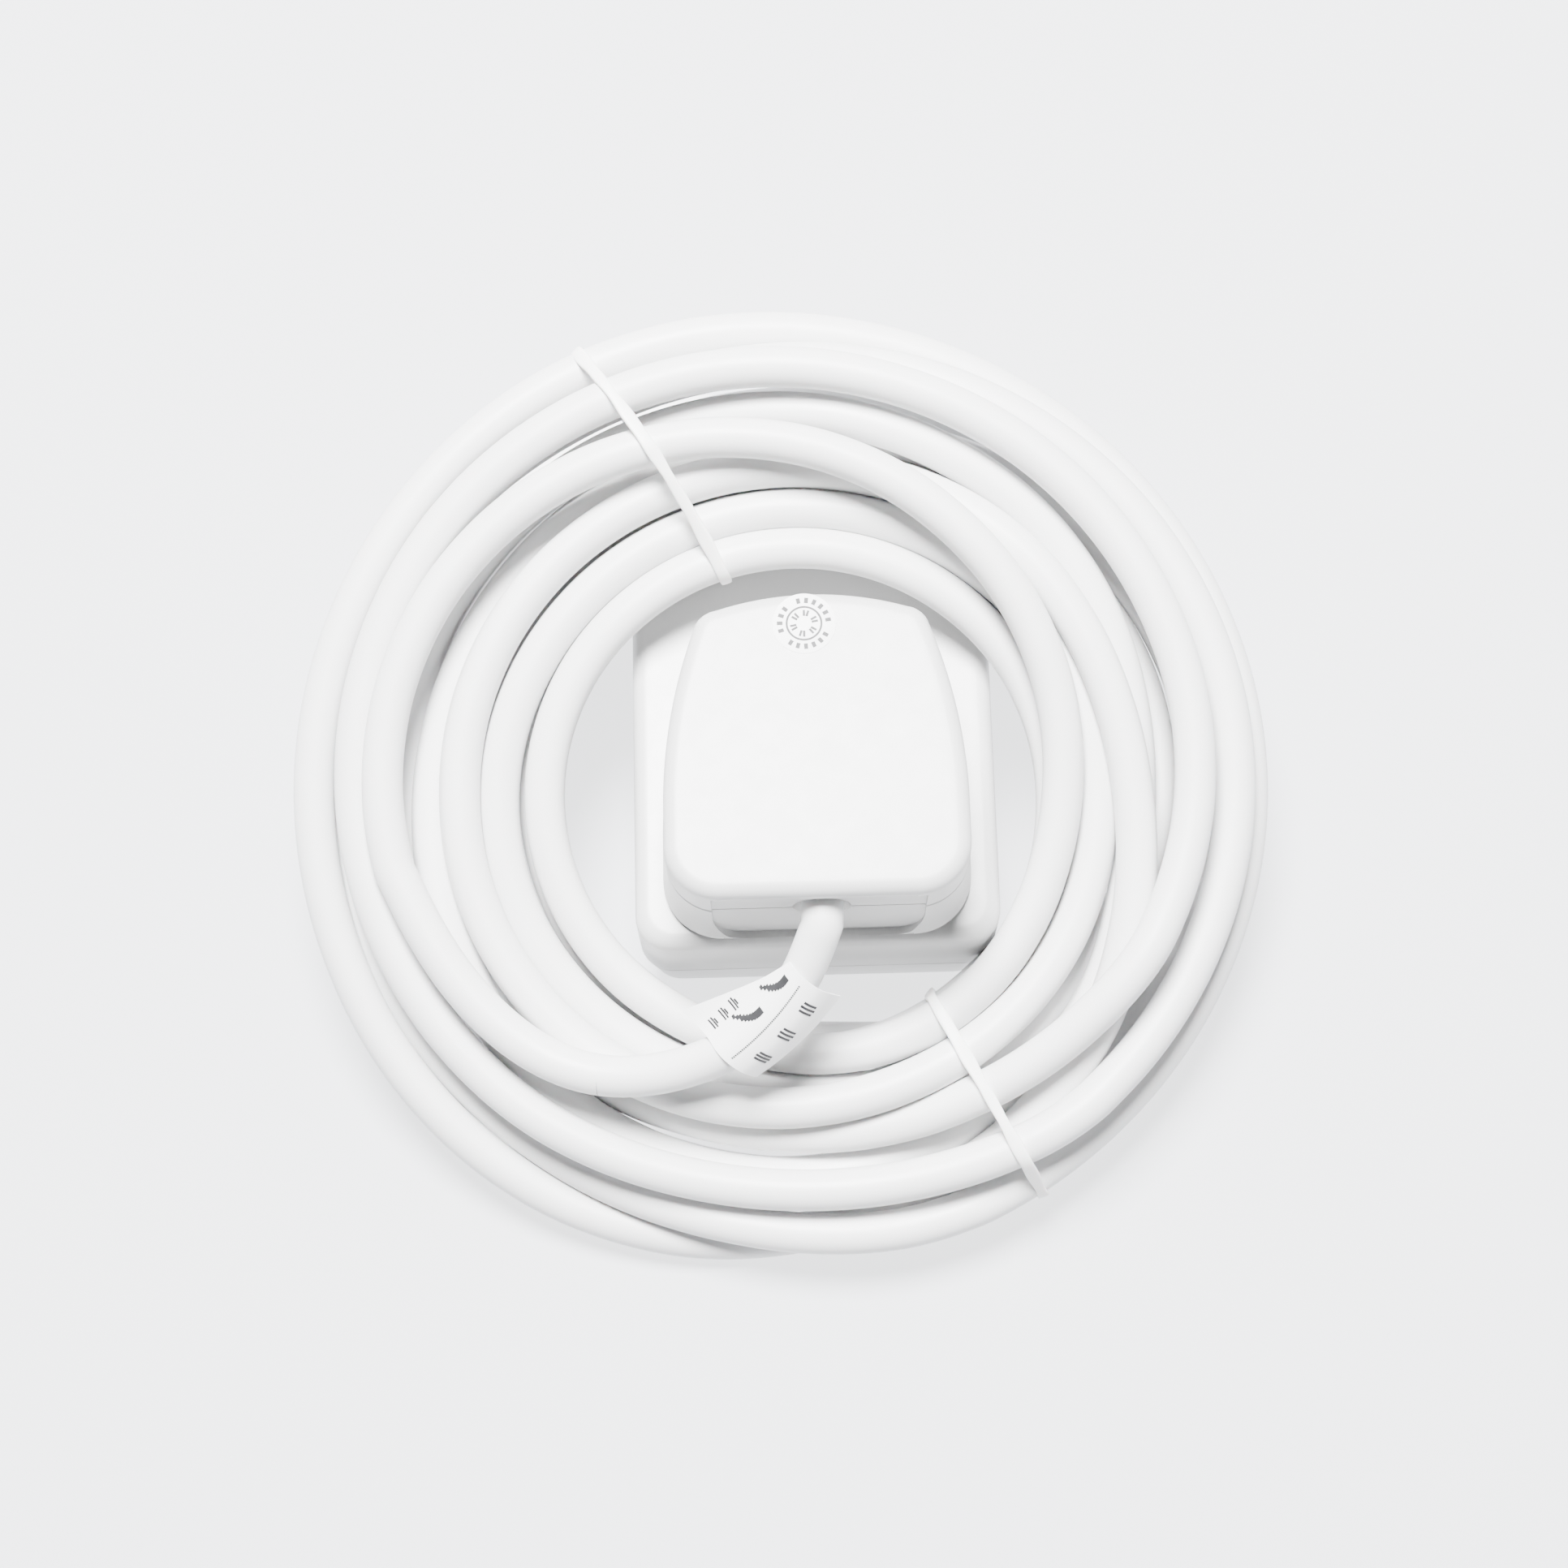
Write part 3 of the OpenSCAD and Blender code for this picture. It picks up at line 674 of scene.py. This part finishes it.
def make_bush(materials):
    """Rubber bush in the cord entry: a rounded collar outside the wall and a plain one inside."""
    sections = [(5.2, 36.2), (6.3, 36.3), (6.3, 37.4), (5.15, 37.6), (5.15, 40.02), (6.2, 40.12),
                (6.35, 40.6), (6.1, 41.3), (5.2, 41.7), (4.1, 41.8), (3.6, 41.5), (3.55, 36.3)]
    angles = np.linspace(0, 2 * math.pi, 48, endpoint=False)
    rings = [[(r * math.cos(a), y, SOCKET_SPLIT + r * math.sin(a)) for a in angles] for r, y in sections]
    bush = loft("entry_bush", rings + rings[:1], materials["rubber"], 40, False, False)
    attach(bush, "socket")
    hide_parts("cord_bush")
    return bush


# ---------------------------------------------------------------- plug


def ellipse_ring(cx, cz, half_w, up, down, y, n=40):
    """Egg-shaped ring in a plane square to Y."""
    ring = []
    for a in np.linspace(0, 2 * math.pi, n, endpoint=False):
        tall = up if math.sin(a) > 0 else down
        ring.append((cx + half_w * math.cos(a), y, cz + tall * math.sin(a)))
    return ring


def panel_tool():
    """Cutter that leaves the flat window-shaped panel in the plug's -Y end."""
    half_top, half_bottom, low, high, turn = 17.6, 13.0, 34.1, 54.9, 8.0
    right = [(half_bottom - 2, low)]
    right += [(half_bottom + (half_top - half_bottom) * math.sin(a), low + turn * (1 - math.cos(a)))
              for a in np.linspace(0, math.pi / 2, 12)]
    right.append((half_top, high))
    section = right + [(-x, z) for x, z in reversed(right)]

    def plane(z):
        return PANEL_Y - (high - z) * PANEL_SLOPE

    outer = [(x, PLUG_Y - 34.0, z) for x, z in section]
    inner = [(x, plane(z), z) for x, z in section]
    return loft("tool", [outer, inner], None)


def cord_hole_tool():
    """Cutter for the cord's hole: a bevelled mouth narrowing to a round bore."""
    mouth = ellipse_ring(CORD_X, 48.4, 5.6, 4.5, 6.6, PLUG_Y - 28.5)
    face = ellipse_ring(CORD_X, 48.4, 5.3, 4.3, 6.0, PLUG_Y - 26.3)
    throat = ellipse_ring(CORD_X, 48.7, 4.1, 3.9, 4.0, PLUG_Y - 24.4)
    back = ellipse_ring(CORD_X, 48.9, 3.7, 3.7, 3.7, PLUG_Y - 21.0)
    return loft("tool", [mouth, face, throat, back], None)


def gloss_panel(piece, gloss):
    """Gives the flat panel of a plug half its glossy finish."""
    piece.data.materials.append(gloss)
    aim = Vector((0, -1, PANEL_SLOPE)).normalized()
    for polygon in piece.data.polygons:
        if polygon.normal.dot(aim) > 0.999 and polygon.center.y < (PANEL_Y + 1) * MM and polygon.area > 4e-7:
            polygon.material_index = len(piece.data.materials) - 1


def plug_ring(inset, z):
    return at_height(plug_outline(inset), z)


def make_plug(materials):
    """Base with its flared foot, and cover with its rounded top, both open at the cord's hole."""
    base_sections = [(3, PLUG_BASE_Z), (-0.4, PLUG_BASE_Z), (-0.85, PLUG_BASE_Z + 0.3),
                     (-1, PLUG_BASE_Z + 0.8), (-1, 35.0), (-0.85, 35.6), (-0.5, 36.8), (-0.2, 38.8),
                     (0, 41.5), (0, PLUG_SEAM - 0.5), (0.15, PLUG_SEAM - 0.3), (0.7, PLUG_SEAM - 0.16),
                     (3, PLUG_SEAM - 0.16)]
    base = loft("plug_body", [plug_ring(g, z) for g, z in base_sections], materials["cover"], 35)
    recess = cylinder_tool((0, -14, PLUG_BASE_Z - 1), (0, 0, 1), 3, 3, 4.2)
    cut(base, panel_tool(), cord_hole_tool(), recess)

    insets, drops = edge_steps(PLUG_EDGE)
    sections = [(3, PLUG_SEAM + 0.08), (0.7, PLUG_SEAM + 0.08), (0.15, PLUG_SEAM + 0.2),
                (0, PLUG_SEAM + 0.4), (0, 52), (0, 54.5)]
    sections += [(inset, PLUG_TOP - drop) for inset, drop in zip(insets, drops)]
    sections.append((PLUG_EDGE + 0.9, PLUG_TOP))
    cover = loft("plug_top", [plug_ring(g, z) for g, z in sections], materials["cover"], 35)
    cut(cover, panel_tool(), cord_hole_tool())
    for piece, node in ((base, "plug_base"), (cover, "plug_cover")):
        smooth(piece, 35)
        gloss_panel(piece, materials["base"])
        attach(piece, "plug")
        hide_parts(node)
    return base, cover


# ---------------------------------------------------------------- sticker


def make_sticker(materials):
    """Round paper sticker with a printed ring and two rings of plain dashes."""
    cx, cy = STICKER_AT
    radius = 5.25

    def circle(r, z, n=64):
        angles = np.linspace(0, 2 * math.pi, n, endpoint=False)
        return [(cx + r * math.cos(a), cy + r * math.sin(a), z) for a in angles]

    disc = loft("sticker", [circle(radius, PLUG_TOP), circle(radius, PLUG_TOP + 0.06),
                            circle(radius - 0.08, PLUG_TOP + 0.1), circle(1, PLUG_TOP + 0.1)],
                materials["paper"], 40)
    print_z = PLUG_TOP + 0.12
    points, faces = [], []

    def dash(r0, r1, angle, half_width):
        away = Vector((math.cos(angle), math.sin(angle)))
        side = Vector((-away.y, away.x))
        start = len(points)
        for r, w in ((r0, -half_width), (r1, -half_width), (r1, half_width), (r0, half_width)):
            place = Vector((cx, cy)) + away * r + side * w
            points.append((place.x, place.y, print_z))
        faces.append((start, start + 1, start + 2, start + 3))

    ring = 72
    for k in range(ring):
        a0, a1 = 2 * math.pi * k / ring, 2 * math.pi * (k + 1) / ring
        start = len(points)
        for r, a in ((2.7, a0), (3.04, a0), (3.04, a1), (2.7, a1)):
            points.append((cx + r * math.cos(a), cy + r * math.sin(a), print_z))
        faces.append((start, start + 1, start + 2, start + 3))
    for k in range(19):
        if k not in (6, 11, 18):
            dash(3.55, 4.5, math.radians(360 * k / 19 + 8), 0.32)
    for k in range(6):
        angle = math.radians(60 * k + 20)
        for offset in (-0.16, 0.16):
            dash(1.3, 2.35, angle + offset, 0.19)
    ink = add_object("sticker_print", points, faces, materials["ink"])
    for piece in (disc, ink):
        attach(piece, "plug")
    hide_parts("fuse_sticker")
    return disc, ink


# ---------------------------------------------------------------- label on the lead


def label_frame(lead_path):
    """Where the label sits on the lead, and its own directions: along the lead, back and up."""
    path = np.asarray(lead_path)
    middle = int(np.argmin(np.abs(path[:, 0] - LABEL_X) + 100 * (path[:, 1] > -44)))
    reach = round(LABEL_LENGTH / 2 / PATH_SPACING)
    along = path[middle - reach] - path[middle + reach]
    along /= np.linalg.norm(along)
    up = np.array([0.0, -0.29, 0.96])
    up -= along * up.dot(along)
    up /= np.linalg.norm(up)
    back = np.cross(up, along)
    return path, middle, along, back, up


def label_profile():
    """The label across the lead, as (back, up): front edge, over the cord, out into the back flap."""
    corners = [(-9.2, -3.2), (-7.6, -1.6), (-6.2, 0.1), (-4.8, 1.9), (-3.0, 3.4), (-0.4, 4.15), (1.9, 3.8),
               (3.9, 2.5), (5.6, 1.3), (7.6, 0.5), (9.8, 0.1), (11.6, 0.0)]
    return spline([(x, y, 0) for x, y in corners], 6)[:, :2]


def make_label(materials, lead_path):
    """Paper flag folded over the lead, with plain printed bars in place of words."""
    path, middle, along, back, up = label_frame(lead_path)
    profile = label_profile()
    across = np.r_[0, np.cumsum(np.linalg.norm(np.diff(profile, axis=0), axis=1))]
    top = float(across[np.argmax(profile[:, 1])])
    full = across[-1]

    def centre(s):
        place = middle - s / PATH_SPACING
        low = int(np.clip(math.floor(place), 0, len(path) - 2))
        part = place - low
        on_lead = path[low] * (1 - part) + path[low + 1] * part
        straight = path[middle] + along * s
        return 0.6 * on_lead + 0.4 * straight

    def on_profile(v):
        return np.array([np.interp(v, across, profile[:, 0]), np.interp(v, across, profile[:, 1])])

    def point(s, v, lift=0.0):
        """s along the lead from the label's middle, v across it from its front edge."""
        q = on_profile(v)
        t = on_profile(v + 0.1) - on_profile(v - 0.1)
        n = np.array([-t[1], t[0]]) / max(np.linalg.norm(t), 1e-9)
        q = q + lift * n
        stiff = fade(v)
        c = centre(s) * (1 - stiff) + (path[middle] + along * s) * stiff
        return tuple(c + back * q[0] + up * q[1])

    def fade(v):
        return float(np.clip((v - LABEL_STIFF_FROM) / 5, 0, 1)) * 0.8

    def edges(s):
        """The label is wound on askew: where it starts and ends across the lead, at this s."""
        from_plug = 0.5 - s / LABEL_LENGTH
        return LABEL_FRONT_TRIM + LABEL_FRONT_SKEW * from_plug, full - LABEL_BACK_SKEW * (1 - from_plug)

    def patch(s0, s1, v0, v1, lift, columns, rows):
        """Grid of points over a part of the label, cut off at its edges."""
        grid = []
        for s in np.linspace(s0, s1, columns + 1):
            first, last = edges(s)
            grid.append([point(s, min(max(v, first), last), lift) for v in np.linspace(v0, v1, rows + 1)])
        return grid

    def add_patch(points, faces, grid):
        rows = len(grid[0])
        start = len(points)
        for column in grid:
            points.extend(column)
        for i in range(len(grid) - 1):
            for j in range(rows - 1):
                a = start + i * rows + j
                faces.append((a, a + rows, a + rows + 1, a + 1))

    half = LABEL_LENGTH / 2
    columns, rows = 20, 48
    points, faces = [], []
    grid = []
    for s in np.linspace(-half, half, columns + 1):
        first, last = edges(s)
        grid.append([point(s, v) for v in np.linspace(first, last, rows + 1)])
    add_patch(points, faces, grid)
    label = add_object("lead_label", points, faces, materials["paper"], 60)
    thicken = label.modifiers.new("paper", "SOLIDIFY")
    thicken.thickness = 0.16 * MM
    thicken.offset = -1
    apply_modifiers(label)
    smooth(label, 60)

    points, faces = [], []

    def bar(s, v, ds, dv, rows=6):
        add_patch(points, faces, patch(s - ds / 2, s + ds / 2, v - dv / 2, v + dv / 2, 0.06, 1, rows))

    for k in range(46):
        bar(-9.4 + k * 0.41, top - 0.3, 0.27, 0.3, 1)
    for s, width in ((-6.0, 2.0), (0.2, 2.4), (6.4, 2.4)):
        for offset in (-0.36, 0, 0.36):
            bar(s + offset * width, top - 3.9, 0.46, 3.0 - abs(offset))
    for s in (-8.0, -5.4, -2.8):
        for offset in (-0.5, 0.1, 0.5):
            bar(s + offset, top + 7.0, 0.34, 2.4 - 1.2 * (offset > 0.2))
    for s in (-4.4, 3.2):
        steps = 10
        for k in range(steps):
            t = k / steps
            bar(s + 5.6 * t, top + 5.2 - 2.8 * t - 1.0 * math.sin(math.pi * t), 0.66, 1.35 - 0.5 * (k < 2))
    ink = add_object("label_print", points, faces, materials["ink"], 60)
    return label, ink


# ---------------------------------------------------------------- elastic bands


def band_loop(wound_path, angle, lean, clearance):
    """Closed loop round the winding at this polar angle, pulled tight over the turns that it crosses."""
    inside = to_coil(np.asarray(wound_path))
    polar = np.degrees(np.arctan2(inside[:, 1], inside[:, 0]))
    off = (polar - angle + 180) % 360 - 180
    crossings = []
    for i in range(len(off) - 1):
        if abs(off[i]) < 20 and off[i] * off[i + 1] <= 0 and inside[i, 2] > COIL_UNDERSIDE - CORD_D:
            p = inside[i]
            crossings.append((math.hypot(p[0], p[1]), p[2]))
    rim = []
    for r, w in crossings:
        for a in np.linspace(0, 2 * math.pi, 24, endpoint=False):
            reach = CORD_R + clearance
            rim.append(Vector((r + reach * math.cos(a), w + reach * math.sin(a))))
    hull = [rim[k] for k in geometry.convex_hull_2d(rim)]
    closed = np.array([(p.x, p.y, 0) for p in hull + hull[:1]])
    section = evenly(closed, 1.2)[:-1]
    middle = np.mean([r for r, w in crossings])
    loop = []
    for r, w, _ in section:
        a = math.radians(angle + lean * (r - middle))
        loop.append((r * math.cos(a), r * math.sin(a), w))
    return np.array(loop)


def make_band(name, node, wound_path, angle, lean, materials):
    """Flat elastic band: a slim rounded strip swept round its loop."""
    loop = band_loop(wound_path, angle, lean, 0.45)
    a = math.radians(angle)
    sideways = np.array([-math.sin(a), math.cos(a), 0])
    along = np.roll(loop, -1, axis=0) - np.roll(loop, 1, axis=0)
    along /= np.linalg.norm(along, axis=1, keepdims=True)
    rings = []
    for i, (point, direction) in enumerate(zip(loop, along)):
        side = sideways - direction * sideways.dot(direction)
        side /= np.linalg.norm(side)
        out = np.cross(direction, side)
        half_w = 1.05 + 0.12 * math.sin(i * 0.35) + 0.08 * math.sin(i * 0.9)
        twist = BAND_TWIST * math.sin(i * 0.16 + angle)
        u = side * math.cos(twist) + out * math.sin(twist)
        v = out * math.cos(twist) - side * math.sin(twist)
        ring = []
        for t in np.linspace(0, 2 * math.pi, 16, endpoint=False):
            c, s = math.cos(t), math.sin(t)
            wide = half_w * math.copysign(abs(c) ** 0.6, c)
            thick = 0.42 * math.copysign(abs(s) ** 0.6, s)
            ring.append(point + u * wide + v * thick)
        placed = to_world(np.array(ring))
        placed[:, 2] = np.maximum(placed[:, 2], 0.05)
        rings.append([tuple(p) for p in placed])
    band = loft(name, rings + rings[:1], materials["elastic"], 60, False, False)
    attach(band, "socket")
    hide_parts(node)
    return band


# ---------------------------------------------------------------- finishes of the CAD pieces that stay


def finish_nodes(materials):
    finishes = {
        "brass": ["contact_live", "contact_neutral", "contact_earth", "pin_live", "pin_neutral", "pin_earth",
                  "fuse_clips"],
        "steel": ["socket_housing_screws", "socket_terminal_screws", "socket_clamp_screws", "shutter_spring",
                  "plug_terminal_screws", "plug_grip_screws", "plug_cover_screw"],
        "inner": ["socket_cord_clamp", "shutter", "plug_cord_grip"],
        "sleeve": ["pin_sleeves"],
        "ceramic": ["fuse"],
        "cores": ["socket_wires", "plug_wires"],
    }
    for finish, names in finishes.items():
        for name in names:
            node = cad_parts[name]
            for slot in node.material_slots:
                slot.material = materials[finish]
            if not node.material_slots:
                node.data.materials.append(materials[finish])


# ---------------------------------------------------------------- the scene

make_camera()
make_light()
materials = make_materials()
cord, wound_path, lead, lead_path = make_cords(materials)
base, cover = make_plug(materials)
make_socket(materials)
bush = make_bush(materials)
sticker, sticker_print = make_sticker(materials)
label, label_print = make_label(materials, lead_path)
bands = [
    make_band("upper_band", "band_upper", wound_path, 111.7, 0.16, materials),
    make_band("lower_band", "band_lower", wound_path, 300.5, -0.04, materials),
]
finish_nodes(materials)

for piece, node in ((lead, "cord_lead"), (label, "flag_label"), (label_print, None)):
    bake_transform(piece)
    if node:
        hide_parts(node)
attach(cord, "socket")
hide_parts("cord_coil", "cord_tail")

floor = loft("floor", [at_height(rounded_rect(FLOOR_SIZE, FLOOR_SIZE, FLOOR_SIZE / 4), 0)], floor_material(),
             close_start=False)
